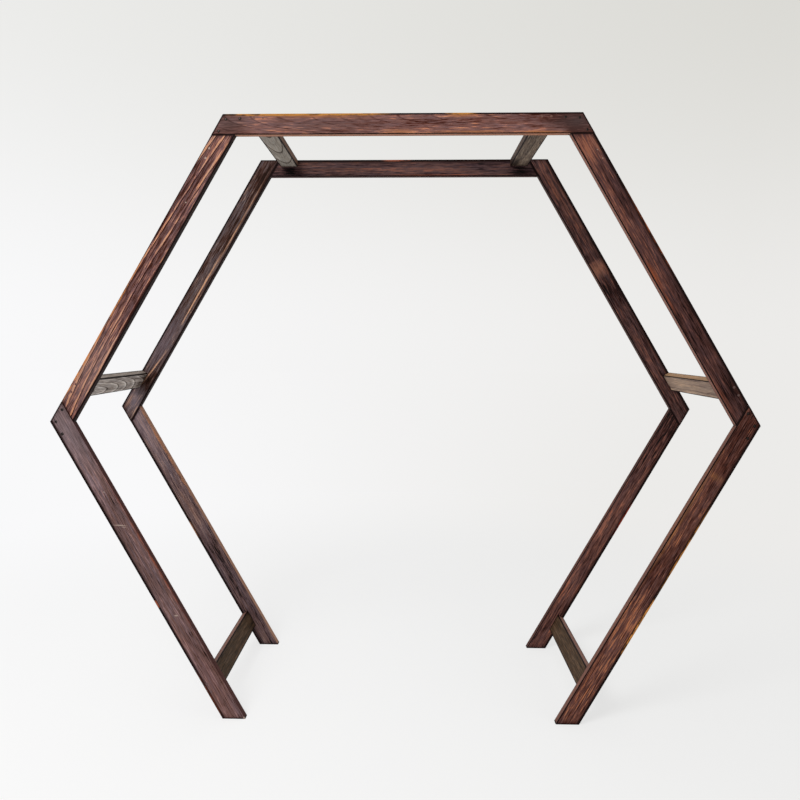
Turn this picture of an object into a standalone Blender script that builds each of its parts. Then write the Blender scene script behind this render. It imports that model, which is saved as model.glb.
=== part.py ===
"""Free-standing wedding arch: two half-lapped hexagon frames of stained pine, held apart by six spacer boards."""

import math

import bmesh
import bpy
from mathutils import Vector

# Sizes in metres. The arch stands on z = 0, its front faces -Y, and it is centred on x = 0 and y = 0.
LEG_LENGTH = 1.219
TOP_RAIL_LENGTH = 1.219
LEG_SLOPE = math.radians(60.0)
FOOT_TRIM = 0.018
BOARD_WIDTH = 0.070
BOARD_THICKNESS = 0.028
SPACER_LENGTH = 0.610
SPACER_WIDTH = 0.073
SPACER_THICKNESS = 0.028
ARRIS_EASING = 0.0015
SEAT_GAP = 0.0003

# Distance from a corner, along the outer edge, to the middle of the spacer near it.
TOP_SPACER_FROM_CORNER = 0.122
KNEE_SPACER_FROM_CORNER = 0.144
FOOT_SPACER_FROM_FLOOR = 0.117

# Countersunk screws: three through each lap, near its outer corners, and two through a frame into each spacer end.
SCREW_HOLE_RADIUS = 0.002
SCREW_HEAD_RADIUS = 0.0042
SCREW_HEAD_SINK = 0.0008
SCREW_HOLE_SIDES = 12
LAP_SCREW_FROM_CORNER = 0.83 * BOARD_WIDTH
LAP_SCREW_FROM_EDGE = 0.23 * BOARD_WIDTH
LAP_TIP_SCREW_FROM_CORNER = 0.30 * BOARD_WIDTH
SPACER_SCREW_SPREAD = 0.031

# Interior angles of the frame, and the sizes that follow from the ones above.
TOP_ANGLE = math.pi - LEG_SLOPE
KNEE_ANGLE = 2 * LEG_SLOPE
FOOT_ANGLE = math.pi - LEG_SLOPE
LEG_RISE = LEG_LENGTH * math.sin(LEG_SLOPE)
LEG_SPREAD = LEG_LENGTH * math.cos(LEG_SLOPE)
TOP_Z = 2 * LEG_RISE - FOOT_TRIM
KNEE_Z = LEG_RISE - FOOT_TRIM
TOP_X = TOP_RAIL_LENGTH / 2
KNEE_X = TOP_X + LEG_SPREAD
LOWER_LEG_LENGTH = KNEE_Z / math.sin(LEG_SLOPE)
FOOT_X = KNEE_X - LOWER_LEG_LENGTH * math.cos(LEG_SLOPE)
SPACER_SPAN = SPACER_LENGTH + 2 * SEAT_GAP
ARCH_DEPTH = 2 * BOARD_THICKNESS + SPACER_SPAN

# Stain colours (linear red, green, blue) and the sheen of the thin oil finish.
ROUGHNESS = 0.62
COLOURS = {
    "front_top_rail": (0.235, 0.115, 0.092),
    "front_left_upper_leg": (0.185, 0.098, 0.090),
    "front_right_upper_leg": (0.125, 0.049, 0.038),
    "front_left_lower_leg": (0.145, 0.075, 0.068),
    "front_right_lower_leg": (0.110, 0.044, 0.035),
    "rear_top_rail": (0.098, 0.045, 0.037),
    "rear_left_upper_leg": (0.100, 0.042, 0.032),
    "rear_right_upper_leg": (0.055, 0.024, 0.021),
    "rear_left_lower_leg": (0.150, 0.088, 0.080),
    "rear_right_lower_leg": (0.090, 0.037, 0.028),
    "top_left_spacer": (0.230, 0.165, 0.140),
    "top_right_spacer": (0.095, 0.066, 0.052),
    "left_knee_spacer": (0.165, 0.125, 0.098),
    "right_knee_spacer": (0.260, 0.180, 0.140),
    "left_foot_spacer": (0.120, 0.075, 0.055),
    "right_foot_spacer": (0.120, 0.075, 0.055),
}


def clear_scene():
    for obj in list(bpy.data.objects):
        bpy.data.objects.remove(obj, do_unlink=True)


def stained_pine(node_name):
    """The Principled material of one board: its own shade of the stain."""
    material = bpy.data.materials.new("stained_pine_" + node_name)
    material.use_nodes = True
    shader = material.node_tree.nodes["Principled BSDF"]
    shader.inputs["Base Color"].default_value = (*COLOURS[node_name], 1.0)
    shader.inputs["Roughness"].default_value = ROUGHNESS
    shader.inputs["Metallic"].default_value = 0.0
    return material


def prism(name, outline, y_start, y_end, eased_sides=()):
    """A mesh that extrudes an (x, z) outline along y. Edges from the corners in eased_sides get a bevel weight."""
    bm = bmesh.new()
    near = [bm.verts.new((x, y_start, z)) for x, z in outline]
    cap = bm.faces.new(near)
    swept = bmesh.ops.extrude_face_region(bm, geom=[cap])
    moved = [item for item in swept["geom"] if isinstance(item, bmesh.types.BMVert)]
    bmesh.ops.translate(bm, verts=moved, vec=Vector((0.0, y_end - y_start, 0.0)))
    bmesh.ops.recalc_face_normals(bm, faces=bm.faces)
    weights = bm.edges.layers.float.new("bevel_weight_edge")
    for edge in bm.edges:
        if eased_sides and is_arris(edge, eased_sides):
            edge[weights] = 1.0
    mesh = bpy.data.meshes.new(name)
    bm.to_mesh(mesh)
    bm.free()
    return mesh


def is_arris(edge, eased_sides):
    """True for an edge that runs along one of the given axes, such as a board's long arrises."""
    run = (edge.verts[1].co - edge.verts[0].co).normalized()
    return any(abs(run.dot(Vector(axis))) > 0.999 for axis in eased_sides)


def add_node(name, mesh, frame, location, turn):
    """Puts a mesh in the scene as one named piece, turned about y and carried by its frame."""
    obj = bpy.data.objects.new(name, mesh)
    obj.parent = frame
    obj.location = location
    obj.rotation_euler = (0.0, turn, 0.0)
    obj.data.materials.append(stained_pine(name))
    bpy.context.collection.objects.link(obj)
    return obj


def ease_arrises(obj):
    bevel = obj.modifiers.new("eased arrises", "BEVEL")
    bevel.limit_method = "WEIGHT"
    bevel.width = ARRIS_EASING
    bevel.segments = 2


def end_line(position, angle, depth, toward_middle):
    """x of a cut that crosses the board at a corner angle, at the given depth below its outer edge."""
    return position + toward_middle * depth / math.tan(angle)


def cut_half_lap(board, name, corner_x, angle, toward_middle, keeps_outer_half):
    """Cuts half the thickness away as far as the mating board's inner edge, so that the two tongues cross."""
    shoulder = (BOARD_WIDTH + SEAT_GAP) / math.sin(angle)
    outside = BOARD_WIDTH
    reach = -toward_middle * (2 * BOARD_WIDTH + shoulder)
    outline = []
    for depth in (-outside, BOARD_WIDTH + outside):
        x = end_line(corner_x, angle, depth, toward_middle) + toward_middle * shoulder
        outline.append((x, -depth))
    outline.append((outline[1][0] + reach, outline[1][1]))
    outline.append((outline[0][0] + reach, outline[0][1]))
    middle = BOARD_THICKNESS / 2
    if keeps_outer_half:
        span = (middle - SEAT_GAP / 2, 2 * BOARD_THICKNESS)
    else:
        span = (-BOARD_THICKNESS, middle + SEAT_GAP / 2)
    cut_away(board, bpy.data.objects.new(name, prism(name, outline, *span)), "half lap")


def lap_screws(corner_x, angle, toward_middle):
    """(x, z) of the screws of one lap: along this board's edge, at the tip, and along the mating board's edge."""
    own_edge = (LAP_SCREW_FROM_CORNER, -LAP_SCREW_FROM_EDGE)
    tip = (LAP_TIP_SCREW_FROM_CORNER * math.cos(angle / 2), -LAP_TIP_SCREW_FROM_CORNER * math.sin(angle / 2))
    mate_edge = (
        LAP_SCREW_FROM_CORNER * math.cos(angle) + LAP_SCREW_FROM_EDGE * math.sin(angle),
        LAP_SCREW_FROM_EDGE * math.cos(angle) - LAP_SCREW_FROM_CORNER * math.sin(angle),
    )
    return [(corner_x + toward_middle * x, z) for x, z in (own_edge, tip, mate_edge)]


def spacer_screws(centre_x):
    """(x, z) of the two screws that hold one spacer end, on the line through its thickness."""
    half = SPACER_SCREW_SPREAD / 2
    return [(centre_x - half, -SPACER_THICKNESS / 2), (centre_x + half, -SPACER_THICKNESS / 2)]


def drill_screw_holes(board, name, spots):
    """Turns one countersunk drill at each (x, z) and cuts them all from the board."""
    clear = BOARD_THICKNESS / 4
    cone = SCREW_HEAD_SINK + SCREW_HEAD_RADIUS - SCREW_HOLE_RADIUS
    profile = [
        (0.0, -clear),
        (SCREW_HEAD_RADIUS, -clear),
        (SCREW_HEAD_RADIUS, SCREW_HEAD_SINK),
        (SCREW_HOLE_RADIUS, cone),
        (SCREW_HOLE_RADIUS, BOARD_THICKNESS + clear),
        (0.0, BOARD_THICKNESS + clear),
    ]
    bm = bmesh.new()
    for x, z in spots:
        verts = [bm.verts.new((x + radius, y, z)) for radius, y in profile]
        edges = [bm.edges.new(pair) for pair in zip(verts, verts[1:])]
        bmesh.ops.spin(
            bm,
            geom=verts + edges,
            cent=(x, 0.0, z),
            axis=(0.0, 1.0, 0.0),
            angle=math.tau,
            steps=SCREW_HOLE_SIDES,
            use_merge=True,
        )
    bmesh.ops.remove_doubles(bm, verts=bm.verts, dist=SCREW_HOLE_RADIUS / 100)
    bmesh.ops.recalc_face_normals(bm, faces=bm.faces)
    mesh = bpy.data.meshes.new(name)
    bm.to_mesh(mesh)
    bm.free()
    cut_away(board, bpy.data.objects.new(name, mesh), "screw holes")


def cut_away(board, cutter, label):
    """Takes the cutter's shape out of the board and keeps the cutter out of the render."""
    cutter.parent = board
    cutter.hide_render = True
    cutter.display_type = "WIRE"
    bpy.context.collection.objects.link(cutter)
    cut = board.modifiers.new(label, "BOOLEAN")
    cut.operation = "DIFFERENCE"
    cut.solver = "EXACT"
    cut.object = cutter


def make_board(name, frame, corner, turn, length, ends, spacer_centre_xs):
    """
    A frame board with x along its outer edge, z outwards and y through its thickness from the show face.
    Each of its two ends is (angle, kind): "over" keeps the show half as its tongue, "under" the hidden half,
    and "foot" is cut level with the floor.
    """
    first_angle, last_angle = ends[0][0], ends[1][0]
    outline = [
        (0.0, 0.0),
        (length, 0.0),
        (end_line(length, last_angle, BOARD_WIDTH, -1), -BOARD_WIDTH),
        (end_line(0.0, first_angle, BOARD_WIDTH, 1), -BOARD_WIDTH),
    ]
    mesh = prism(name, outline, 0.0, BOARD_THICKNESS, eased_sides=[(1, 0, 0)])
    board = add_node(name, mesh, frame, corner, turn)
    ease_arrises(board)
    screws = []
    for centre_x in spacer_centre_xs:
        screws += spacer_screws(centre_x)
    for label, corner_x, (angle, kind), toward_middle in (
        ("_first_lap", 0.0, ends[0], 1),
        ("_last_lap", length, ends[1], -1),
    ):
        if kind == "foot":
            continue
        cut_half_lap(board, name + label, corner_x, angle, toward_middle, kind == "over")
        if kind == "over":
            screws += lap_screws(corner_x, angle, toward_middle)
    drill_screw_holes(board, name + "_screw_holes", screws)


def make_frame(place, left, right, y_face, turn):
    """Five boards half-lapped into a hexagon that is open at the floor. The rear frame is the same one, turned round."""
    frame = bpy.data.objects.new(place + "_frame", None)
    frame.location = (0.0, y_face, 0.0)
    frame.rotation_euler = (0.0, 0.0, turn)
    bpy.context.collection.objects.link(frame)
    top_over, top_under = (TOP_ANGLE, "over"), (TOP_ANGLE, "under")
    knee_over, knee_under = (KNEE_ANGLE, "over"), (KNEE_ANGLE, "under")
    foot = (FOOT_ANGLE, "foot")
    rise = math.pi - LEG_SLOPE
    boards = (
        ("top_rail", (-TOP_X, TOP_Z), 0.0, TOP_RAIL_LENGTH, (top_over, top_over),
         (TOP_SPACER_FROM_CORNER, TOP_RAIL_LENGTH - TOP_SPACER_FROM_CORNER)),
        (left + "_upper_leg", (-KNEE_X, KNEE_Z), -LEG_SLOPE, LEG_LENGTH, (knee_under, top_under),
         (KNEE_SPACER_FROM_CORNER,)),
        (right + "_upper_leg", (TOP_X, TOP_Z), LEG_SLOPE, LEG_LENGTH, (top_under, knee_under),
         (LEG_LENGTH - KNEE_SPACER_FROM_CORNER,)),
        (left + "_lower_leg", (-FOOT_X, 0.0), -rise, LOWER_LEG_LENGTH, (foot, knee_over),
         (FOOT_SPACER_FROM_FLOOR,)),
        (right + "_lower_leg", (KNEE_X, KNEE_Z), rise, LOWER_LEG_LENGTH, (knee_over, foot),
         (LOWER_LEG_LENGTH - FOOT_SPACER_FROM_FLOOR,)),
    )
    for name, (x, z), turn_down, length, ends, spacer_centre_xs in boards:
        make_board(f"{place}_{name}", frame, (x, 0.0, z), turn_down, length, ends, spacer_centre_xs)


def make_spacer(name, x, z, turn):
    """A short board across the depth of the arch, flat face out and flush with the frames' outer edges."""
    half = SPACER_WIDTH / 2
    outline = [(-half, 0.0), (half, 0.0), (half, -SPACER_THICKNESS), (-half, -SPACER_THICKNESS)]
    mesh = prism(name, outline, -SPACER_LENGTH / 2, SPACER_LENGTH / 2, eased_sides=[(0, 1, 0)])
    ease_arrises(add_node(name, mesh, None, (x, 0.0, z), turn))


def make_spacers():
    """One pair at each height, the right one a mirror image in place of the left."""
    knee_x = KNEE_X - KNEE_SPACER_FROM_CORNER * math.cos(LEG_SLOPE)
    knee_z = KNEE_Z + KNEE_SPACER_FROM_CORNER * math.sin(LEG_SLOPE)
    foot_x = FOOT_X + FOOT_SPACER_FROM_FLOOR * math.cos(LEG_SLOPE)
    foot_z = FOOT_SPACER_FROM_FLOOR * math.sin(LEG_SLOPE)
    for side, sign in (("left", -1), ("right", 1)):
        make_spacer(f"top_{side}_spacer", sign * (TOP_X - TOP_SPACER_FROM_CORNER), TOP_Z, 0.0)
        make_spacer(f"{side}_knee_spacer", sign * knee_x, knee_z, sign * LEG_SLOPE)
        make_spacer(f"{side}_foot_spacer", sign * foot_x, foot_z, sign * (math.pi - LEG_SLOPE))


clear_scene()
make_frame("front", "left", "right", -ARCH_DEPTH / 2, 0.0)
make_frame("rear", "right", "left", ARCH_DEPTH / 2, math.pi)
make_spacers()
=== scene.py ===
"""Free-standing hexagon wedding arch of stained pine, in a plain pale studio."""

import math

import bpy
from mathutils import Euler, Matrix, Vector


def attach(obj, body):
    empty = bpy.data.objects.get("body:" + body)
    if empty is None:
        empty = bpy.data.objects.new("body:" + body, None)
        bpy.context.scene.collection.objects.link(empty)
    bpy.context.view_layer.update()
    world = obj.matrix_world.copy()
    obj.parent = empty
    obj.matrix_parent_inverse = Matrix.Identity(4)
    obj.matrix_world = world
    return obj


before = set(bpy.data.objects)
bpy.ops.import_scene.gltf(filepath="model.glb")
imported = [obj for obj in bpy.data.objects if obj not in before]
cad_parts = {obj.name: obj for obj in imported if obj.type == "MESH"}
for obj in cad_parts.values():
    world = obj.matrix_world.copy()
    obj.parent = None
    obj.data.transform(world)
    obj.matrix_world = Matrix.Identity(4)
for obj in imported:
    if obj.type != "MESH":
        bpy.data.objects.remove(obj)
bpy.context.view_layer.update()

# Camera.
# It stands at chest height, 2.5 m in front of the front frame and 3 cm right of the middle, and looks a
# little down. The shift makes up for the photograph's crop. Angles are in radians, sensor and lens in mm.
CAMERA_PLACE = (0.032937, -2.857769, 1.315648)
CAMERA_YAW = -0.0277023
CAMERA_PITCH = -0.0322621
CAMERA_ROLL = 0.0031514
SENSOR_WIDTH = 36.0
LENS_LENGTH = 33.2237
LENS_SHIFT_X = 0.012393
LENS_SHIFT_Y = -0.041676

camera = bpy.data.objects.new("camera", bpy.data.cameras.new("camera"))
bpy.context.scene.collection.objects.link(camera)
camera.data.sensor_width = SENSOR_WIDTH
camera.data.lens = LENS_LENGTH
camera.data.shift_x = LENS_SHIFT_X
camera.data.shift_y = LENS_SHIFT_Y
camera.matrix_world = (
    Matrix.Translation(CAMERA_PLACE)
    @ Matrix.Rotation(-CAMERA_YAW, 4, "Z")
    @ Matrix.Rotation(math.pi / 2 + CAMERA_PITCH, 4, "X")
    @ Matrix.Rotation(CAMERA_ROLL, 4, "Z")
)
bpy.context.scene.camera = camera
bpy.context.scene.view_settings.view_transform = "Standard"

# Studio room.
# A seamless pale room: what the eye, a gloss or a glass sees of it is the colour of the backdrop, a shade
# darker upwards, and darker to the right as a painted fall-off of the light from the left. What falls on the
# object is a plain soft light from all round.
LOW_LEFT = "#F9F9FA"
LOW_RIGHT = "#ECEBE9"
HIGH_LEFT = "#ECECEA"
HIGH_RIGHT = "#DBDAD5"
ROOM_LIGHT = 0.42
ROOM_LIGHT_COLOUR = "#FFFFFF"

# How far to the left, to the right and up a view points where the backdrop's shade begins and ends.
SHADE_FROM = -0.48
SHADE_TO = 0.40
SHADE_TOP = 0.42

# The colour sockets of a Mix node, which share their names with its other sockets.
COLOUR_A = 6
COLOUR_B = 7
MIXED = 2


def hex_colour(code):
    """An sRGB hex colour as linear red, green and blue, and an alpha of 1."""
    parts = [int(code[i : i + 2], 16) / 255 for i in (1, 3, 5)]
    return (*(p / 12.92 if p <= 0.04045 else ((p + 0.055) / 1.055) ** 2.4 for p in parts), 1.0)


def feed(tree, node, inputs):
    """Sets a node's inputs. Each gets a plain value, a socket, or a node, which gives its first output."""
    for socket, value in inputs.items():
        if isinstance(value, bpy.types.Node):
            value = value.outputs[0]
        if isinstance(value, bpy.types.NodeSocket):
            tree.links.new(value, node.inputs[socket])
        else:
            node.inputs[socket].default_value = value


def add_node(tree, kind, inputs=None, **settings):
    """Adds a shader node with its settings and links."""
    node = tree.nodes.new(kind)
    for name, value in settings.items():
        setattr(node, name, value)
    feed(tree, node, inputs or {})
    return node


def seen_directly(tree):
    """1 where the eye, a gloss or a glass sees the surface, and 0 where only its light is at work."""
    path = add_node(tree, "ShaderNodeLightPath")
    seen = path.outputs["Is Camera Ray"]
    for ray in ("Is Glossy Ray", "Is Transmission Ray"):
        seen = add_node(tree, "ShaderNodeMath", {0: seen, 1: path.outputs[ray]}, operation="MAXIMUM")
    return seen


def shade_across(tree, sideways, left, right):
    """The backdrop's colour between its left and its right, by how far a direction points to the right: a
    painted fall-off of the light from the left.
    """
    span = {"Value": sideways, "From Min": SHADE_FROM, "From Max": SHADE_TO}
    across = add_node(tree, "ShaderNodeMapRange", span)
    ends = {"Factor": across, COLOUR_A: hex_colour(left), COLOUR_B: hex_colour(right)}
    return add_node(tree, "ShaderNodeMix", ends, data_type="RGBA").outputs[MIXED]


world = bpy.data.worlds.new("studio room")
bpy.context.scene.world = world
world.use_nodes = True
room = world.node_tree
room.nodes.clear()
looking = add_node(room, "ShaderNodeTexCoord").outputs["Generated"]
direction = add_node(room, "ShaderNodeSeparateXYZ", {0: looking})
rise = add_node(
    room,
    "ShaderNodeMapRange",
    {"Value": direction.outputs["Z"], "From Min": 0.0, "From Max": SHADE_TOP},
    interpolation_type="SMOOTHSTEP",
)
low = shade_across(room, direction.outputs["X"], LOW_LEFT, LOW_RIGHT)
high = shade_across(room, direction.outputs["X"], HIGH_LEFT, HIGH_RIGHT)
paper = add_node(room, "ShaderNodeMix", {"Factor": rise, COLOUR_A: low, COLOUR_B: high}, data_type="RGBA")
backdrop = add_node(room, "ShaderNodeBackground", {"Color": paper.outputs[MIXED], "Strength": 1.0})
plain_light = {"Color": hex_colour(ROOM_LIGHT_COLOUR), "Strength": ROOM_LIGHT}
soft_light = add_node(room, "ShaderNodeBackground", plain_light)
either = add_node(room, "ShaderNodeMixShader", {0: seen_directly(room), 1: soft_light, 2: backdrop})
add_node(room, "ShaderNodeOutputWorld", {"Surface": either})

# Studio lamps.
# One large softbox high on the left in front, as in the photograph, and a weak one on the right that keeps
# the far sides of the boards open.
LAMPS = (
    ("left softbox", (-2.4, -3.6, 4.4), 2.2, 175.0),
    ("right fill", (4.2, -2.6, 2.4), 2.8, 14.0),
)
LAMPS_AIM_AT = Vector((0.0, 0.0, 1.0))

for name, place, side, watts in LAMPS:
    lamp = bpy.data.objects.new(name, bpy.data.lights.new(name, "AREA"))
    bpy.context.scene.collection.objects.link(lamp)
    lamp.data.shape = "SQUARE"
    lamp.data.size = side
    lamp.data.energy = watts
    lamp.location = place
    lamp.rotation_euler = (LAMPS_AIM_AT - Vector(place)).to_track_quat("-Z", "Y").to_euler()

# Studio floor.
# Pale seamless paper that takes the arch's soft shadow near its feet. Further out it fades to the
# backdrop's colour, so that no horizon shows.
FLOOR_SIDE = 60.0
FLOOR_DROP = 0.0005
FLOOR_COLOUR = "#FAFAFA"
# The glow near the arch is painted paler on the left and darker on the right, as a fall-off of the light.
GLOW_LEFT = "#FFFFFF"
GLOW_RIGHT = "#F5F5F4"

# Near the arch this share of the paper glows in its own colour, and the rest is lit and takes the shadow.
# It all glows beyond the end of the fade. Its shade is the room's, seen from this height over the middle, so
# it has the same painted fall-off of the light from left to right.
NEAR_GLOW = 0.72
SHADOW_REACH = 0.9
FADE_END = 3.6
SHADE_HEIGHT = 2.5

bpy.ops.object.select_all(action="DESELECT")
bpy.ops.mesh.primitive_plane_add(size=FLOOR_SIDE, location=(0.0, 0.0, -FLOOR_DROP))
floor = bpy.context.object
floor.name = "studio_floor"
bpy.ops.object.transform_apply(location=True, rotation=True, scale=True)
seamless_paper = bpy.data.materials.new("seamless_paper")
seamless_paper.use_nodes = True
sheet = seamless_paper.node_tree
sheet.nodes.clear()
spot = add_node(sheet, "ShaderNodeTexCoord").outputs["Object"]
reach = add_node(sheet, "ShaderNodeVectorMath", {0: spot}, operation="LENGTH")
far = add_node(
    sheet,
    "ShaderNodeMapRange",
    {"Value": reach.outputs["Value"], "From Min": SHADOW_REACH, "From Max": FADE_END},
    interpolation_type="SMOOTHSTEP",
)
growing = {0: far, 1: 1.0 - NEAR_GLOW, 2: NEAR_GLOW}
share = add_node(sheet, "ShaderNodeMath", growing, operation="MULTIPLY_ADD")
fade = add_node(sheet, "ShaderNodeMath", {0: share, 1: seen_directly(sheet)}, operation="MULTIPLY")
sunk = add_node(sheet, "ShaderNodeVectorMath", {0: spot, 1: (0.0, 0.0, -SHADE_HEIGHT)}, operation="ADD")
toward = add_node(sheet, "ShaderNodeVectorMath", {0: sunk}, operation="NORMALIZE")
sideways = add_node(sheet, "ShaderNodeSeparateXYZ", {0: toward}).outputs["X"]
near_paper = shade_across(sheet, sideways, GLOW_LEFT, GLOW_RIGHT)
far_paper = shade_across(sheet, sideways, LOW_LEFT, LOW_RIGHT)
fading = {"Factor": far, COLOUR_A: near_paper, COLOUR_B: far_paper}
paper = add_node(sheet, "ShaderNodeMix", fading, data_type="RGBA")
matt = add_node(sheet, "ShaderNodeBsdfDiffuse", {"Color": hex_colour(FLOOR_COLOUR)})
glow = add_node(sheet, "ShaderNodeEmission", {"Color": paper.outputs[MIXED], "Strength": 1.0})
either = add_node(sheet, "ShaderNodeMixShader", {0: fade, 1: matt, 2: glow})
add_node(sheet, "ShaderNodeOutputMaterial", {"Surface": either})
floor.data.materials.append(seamless_paper)

# Frame boards.
# Ten planed pine battens, 28 x 70 mm with eased arrises, brushed with a thin walnut stain by hand. They are
# half-lapped at the corners, glued and screwed, so each runs on into the next at the same face.
BOARD_WIDTH = 0.070
BOARD_THICKNESS = 0.028
LEG_LENGTH = 1.219
TOP_RAIL_LENGTH = 1.219
LEG_SLOPE = math.radians(60.0)
CORNER = 2 * LEG_SLOPE
FOOT_TRIM = 0.018
SPACER_LENGTH = 0.610
SEAT_GAP = 0.0003
LEG_RISE = LEG_LENGTH * math.sin(LEG_SLOPE)
TOP_Z = 2 * LEG_RISE - FOOT_TRIM
KNEE_Z = LEG_RISE - FOOT_TRIM
TOP_X = TOP_RAIL_LENGTH / 2
KNEE_X = TOP_X + LEG_LENGTH * math.cos(LEG_SLOPE)
LOWER_LEG_LENGTH = KNEE_Z / math.sin(LEG_SLOPE)
FOOT_X = KNEE_X - LOWER_LEG_LENGTH * math.cos(LEG_SLOPE)
FACE_Y = SPACER_LENGTH / 2 + SEAT_GAP + BOARD_THICKNESS

# The front frame's boards: where each starts along its outer edge, how it leans, its length, and its two
# ends. A lap keeps the show face where it goes over its mate and the back where it goes under it, and a
# foot is cut level. Local x runs along the edge, y into the thickness from the show face, and z outwards.
FRAME_BOARDS = (
    ("top_rail", -TOP_X, TOP_Z, 0.0, TOP_RAIL_LENGTH, ("over", "over")),
    ("left_upper_leg", -KNEE_X, KNEE_Z, -LEG_SLOPE, LEG_LENGTH, ("under", "under")),
    ("right_upper_leg", TOP_X, TOP_Z, LEG_SLOPE, LEG_LENGTH, ("under", "under")),
    ("left_lower_leg", -FOOT_X, 0.0, -2 * LEG_SLOPE, LOWER_LEG_LENGTH, ("foot", "over")),
    ("right_lower_leg", KNEE_X, KNEE_Z, 2 * LEG_SLOPE, LOWER_LEG_LENGTH, ("over", "foot")),
)

# The rear frame is the front one turned half round, so its left boards are like the right ones in front.
OTHER_SIDE = {"top": "top", "left": "right", "right": "left"}
BOARDS = {}
for board_name, start_x, start_z, lean, length, ends in FRAME_BOARDS:
    BOARDS["front_" + board_name] = ((start_x, -FACE_Y, start_z), (0.0, lean, 0.0), length, ends)
for board_name, start_x, start_z, lean, length, ends in FRAME_BOARDS:
    side, rest = board_name.split("_", 1)
    start = (-start_x, FACE_Y, start_z)
    BOARDS[f"rear_{OTHER_SIDE[side]}_{rest}"] = (start, (0.0, lean, math.pi), length, ends)

# Where the three screws go through each lap that a board covers, along and across it: one beside its own
# outer edge, one at the corner's tip, and one beside its mate's outer edge.
LAP_SCREW_FROM_CORNER = 0.83 * BOARD_WIDTH
LAP_SCREW_FROM_EDGE = 0.23 * BOARD_WIDTH
LAP_TIP_SCREW_FROM_CORNER = 0.30 * BOARD_WIDTH
own_edge = (LAP_SCREW_FROM_CORNER, -LAP_SCREW_FROM_EDGE)
tip = (LAP_TIP_SCREW_FROM_CORNER * math.cos(CORNER / 2), -LAP_TIP_SCREW_FROM_CORNER * math.sin(CORNER / 2))
mate_edge = (
    LAP_SCREW_FROM_CORNER * math.cos(CORNER) + LAP_SCREW_FROM_EDGE * math.sin(CORNER),
    LAP_SCREW_FROM_EDGE * math.cos(CORNER) - LAP_SCREW_FROM_CORNER * math.sin(CORNER),
)
lap_spots = {}
for name, (start, turn, length, ends) in BOARDS.items():
    lap_spots[name] = [
        (edge_x + toward_middle * x, z)
        for edge_x, toward_middle, kind in ((0.0, 1, ends[0]), (length, -1, ends[1]))
        if kind == "over"
        for x, z in (own_edge, tip, mate_edge)
    ]

# The grain: features a metre along a board and across it, the noise's detail and roughness, and its own
# seed. Fibres are 4 mm wide and a hand long, flecks 6 x 30 mm, pores 3 x 40 mm, brush bands 22 x 300 mm,
# changes of hue 8 x 110 mm and fine fibres, for a near view, 2 mm wide. Real fibres and pores are under a
# millimetre, and are drawn as coarse as the picture can show. The trunk's growth sways over 110 x 180 mm.
FIBRES = ((9.0, 250.0), 4.0, 0.65, 3.1)
FLECKS = ((34.0, 170.0), 3.0, 0.6, 5.3)
PORES = ((24.0, 340.0), 2.0, 0.6, 9.9)
BRUSH_BANDS = ((3.3, 45.0), 2.0, 0.5, 7.7)
HUE_CHANGES = ((9.0, 130.0), 3.0, 0.6, 12.4)
FINE_FIBRES = ((15.0, 520.0), 4.0, 0.65, 20.2)
GROWTH_SWAY = ((5.5, 9.0), 2.5, 0.45, 0.0)

# Most of a noise's values lie in this span.
NOISE_SPAN = {"From Min": 0.3, "From Max": 0.7}

# How much the grain changes the stain's tone.
FIBRE_WEIGHT = 2.0
FLECK_WEIGHT = 0.8
PORE_WEIGHT = 1.8
BAND_WEIGHT = 1.2

# Where the three middle tones of a stain lie, and what goes on over it.
TONE_STEPS = (0.22, 0.5, 0.78)
COOLER = (0.91, 1.0, 1.12, 1.0)
WARMER = (1.10, 0.98, 0.86, 1.0)
POOLED_STAIN = "#120302"
PALE_FILLER = "#B09C90"

# How these fade with the distance from a border, in metres: dark stain on cut and lap lines, the stain
# soaked in beside them, worn arrises, and the edge faces' colour, which is partly stain and partly painted
# light and shade, and the dark rim of an arris, whose strength or width is the board's own. The rim's width
# changes over the middle 40 mm of the board.
LINE_FADE = {"From Min": 0.0008, "From Max": 0.0060, "To Min": 0.97, "To Max": 0.0}
SOAK_FADE = {"From Min": 0.002, "From Max": 0.022, "To Min": 0.25, "To Max": 0.0}
WEAR_FADE = {"From Min": 0.0015, "From Max": 0.0075, "To Min": 2.0, "To Max": 0.0}
EDGE_FADE = {"From Min": 0.0003, "From Max": 0.0015, "To Max": 0.0}
RIM_FADE = {"From Min": 0.001, "To Min": 1.25, "To Max": 0.0}
RIM_WIDTH_SPAN = {"From Min": -0.02, "From Max": 0.02}

# The flecks make borders ragged by up to this much, in metres. A line on the other face is put out of sight.
ARRIS_RAGGED = 0.003
LINE_RAGGED = 0.002
OUT_OF_SIGHT = 1000.0

# How far growth lines and fibres stand proud, in metres.
GRAIN_RELIEF = 0.0006

# Depths below the show face and half thicknesses of patches, in millimetres.
RIGHT_THROUGH = (0.0, 1000.0)
ON_SHOW_FACE = (0.0, 5.0)

# The dark ring round a lap screw's head, partly stain pooled there and partly painted shade of its
# countersunk hole: its radius in millimetres and its strength.
SHADED_POOL_RADIUS = 6.8
SHADED_POOL_STRENGTH = 2.8


def new_material(name):
    """A new material, with its node tree and its Principled shader."""
    material = bpy.data.materials.new(name)
    material.use_nodes = True
    tree = material.node_tree
    return material, tree, tree.nodes["Principled BSDF"]


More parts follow.
